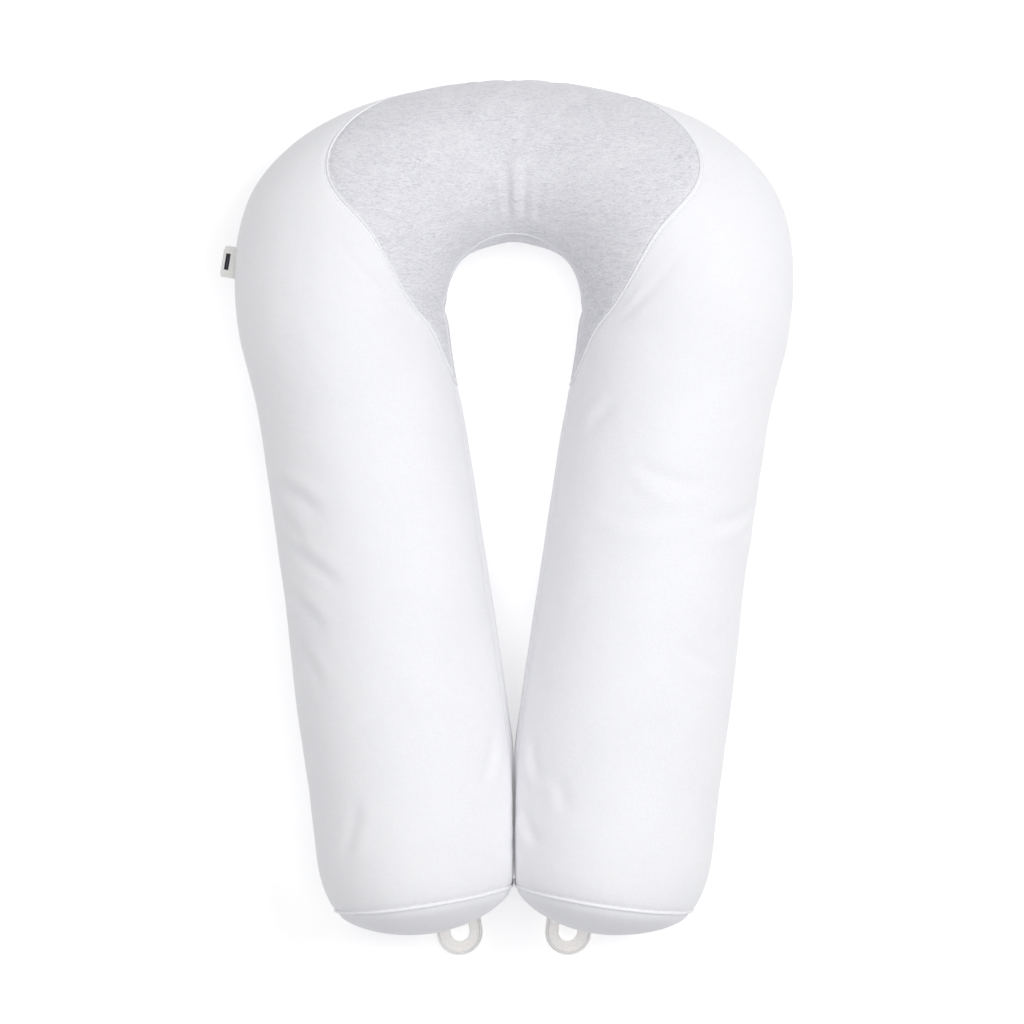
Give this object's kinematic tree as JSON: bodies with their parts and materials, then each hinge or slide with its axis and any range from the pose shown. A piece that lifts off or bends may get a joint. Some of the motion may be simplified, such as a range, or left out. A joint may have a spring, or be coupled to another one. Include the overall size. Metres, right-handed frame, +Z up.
{
  "type": "nursing pillow",
  "caption": "Long U-shaped stuffed nursing and body pillow with a zipped cover, slanted centre panel, domed end caps and a loop at each foot.",
  "frame": {"origin": "on the resting plane, under the middle of the crown, on the plane of symmetry", "axes": "+Z up from the surface it lies on, +Y out over the crown, legs towards -Y, label side towards -X"},
  "size_m": [0.5516, 0.8409, 0.1885],
  "materials": {
    "grey_jersey": "heather knitted jersey, matt",
    "white_cotton": "fine cotton weave, matt",
    "cap_cotton": "fine cotton weave, matt",
    "white_piping": "tightly folded cotton piping",
    "liner_cloth": "plain calico",
    "fibre_filling": "loose fibre balls",
    "tab_webbing": "folded cotton tape",
    "label_ribbon": "folded satin ribbon",
    "care_ribbon": "folded satin ribbon",
    "zip_tape": "woven polyester tape",
    "zip_nylon": "moulded nylon coil",
    "zip_metal": "white enamel",
    "loop_silicone": "translucent milky silicone, satin"
  },
  "bodies": {
    "crown": {"centre_panel": "grey_jersey", "liner_crown": "liner_cloth", "filling_crown": "fibre_filling"},
    "leg_left": {"sleeve_left": "white_cotton", "end_cap_left": "cap_cotton", "centre_piping_left": "white_piping", "end_piping_left": "white_piping", "liner_leg_left": "liner_cloth", "filling_leg_left": "fibre_filling", "loop_tab_left": "tab_webbing", "brand_label": "label_ribbon", "care_label": "care_ribbon", "zip_tape_upper": "zip_tape", "zip_tape_lower": "zip_tape", "zip_teeth": "zip_nylon", "zip_stop_top": "zip_metal", "zip_stop_bottom": "zip_metal"},
    "leg_right": {"sleeve_right": "white_cotton", "end_cap_right": "cap_cotton", "centre_piping_right": "white_piping", "end_piping_right": "white_piping", "liner_leg_right": "liner_cloth", "filling_leg_right": "fibre_filling", "loop_tab_right": "tab_webbing"},
    "slider": {"zip_slider": "zip_metal"},
    "pull": {"zip_pull": "zip_metal"},
    "loop_left": {"end_loop_left": "loop_silicone"},
    "loop_right": {"end_loop_right": "loop_silicone"}
  },
  "joints": [
    {"name": "leg_left_open", "type": "hinge", "parent": "crown", "child": "leg_left", "pos_m": [-0.176, 0.0495, 0], "axis": [0, 0, -1], "range_deg": [0, 20], "stiffness_Nm_per_rad": 3},
    {"name": "leg_right_open", "type": "hinge", "parent": "crown", "child": "leg_right", "pos_m": [0.176, 0.0495, 0], "axis": [0, 0, 1], "range_deg": [0, 20], "stiffness_Nm_per_rad": 3},
    {"name": "zip_run", "type": "slide", "parent": "leg_left", "child": "slider", "axis": [0.1478, -0.989, 0], "range_m": [0, 0.376]},
    {"name": "pull_turn", "type": "hinge", "parent": "slider", "child": "pull", "pos_m": [-0.23439, -0.24455, 0.03513], "axis": [0.5179, 0.0774, -0.8519], "range_deg": [0, 170]},
    {"name": "loop_left_swing", "type": "hinge", "parent": "leg_left", "child": "loop_left", "pos_m": [-0.05514, -0.72533, 0.004], "axis": [-0.989, -0.1478, 0], "range_deg": [-80, 70]},
    {"name": "loop_right_swing", "type": "hinge", "parent": "leg_right", "child": "loop_right", "pos_m": [0.05514, -0.72533, 0.004], "axis": [-0.989, 0.1478, 0], "range_deg": [-80, 70]}
  ]
}
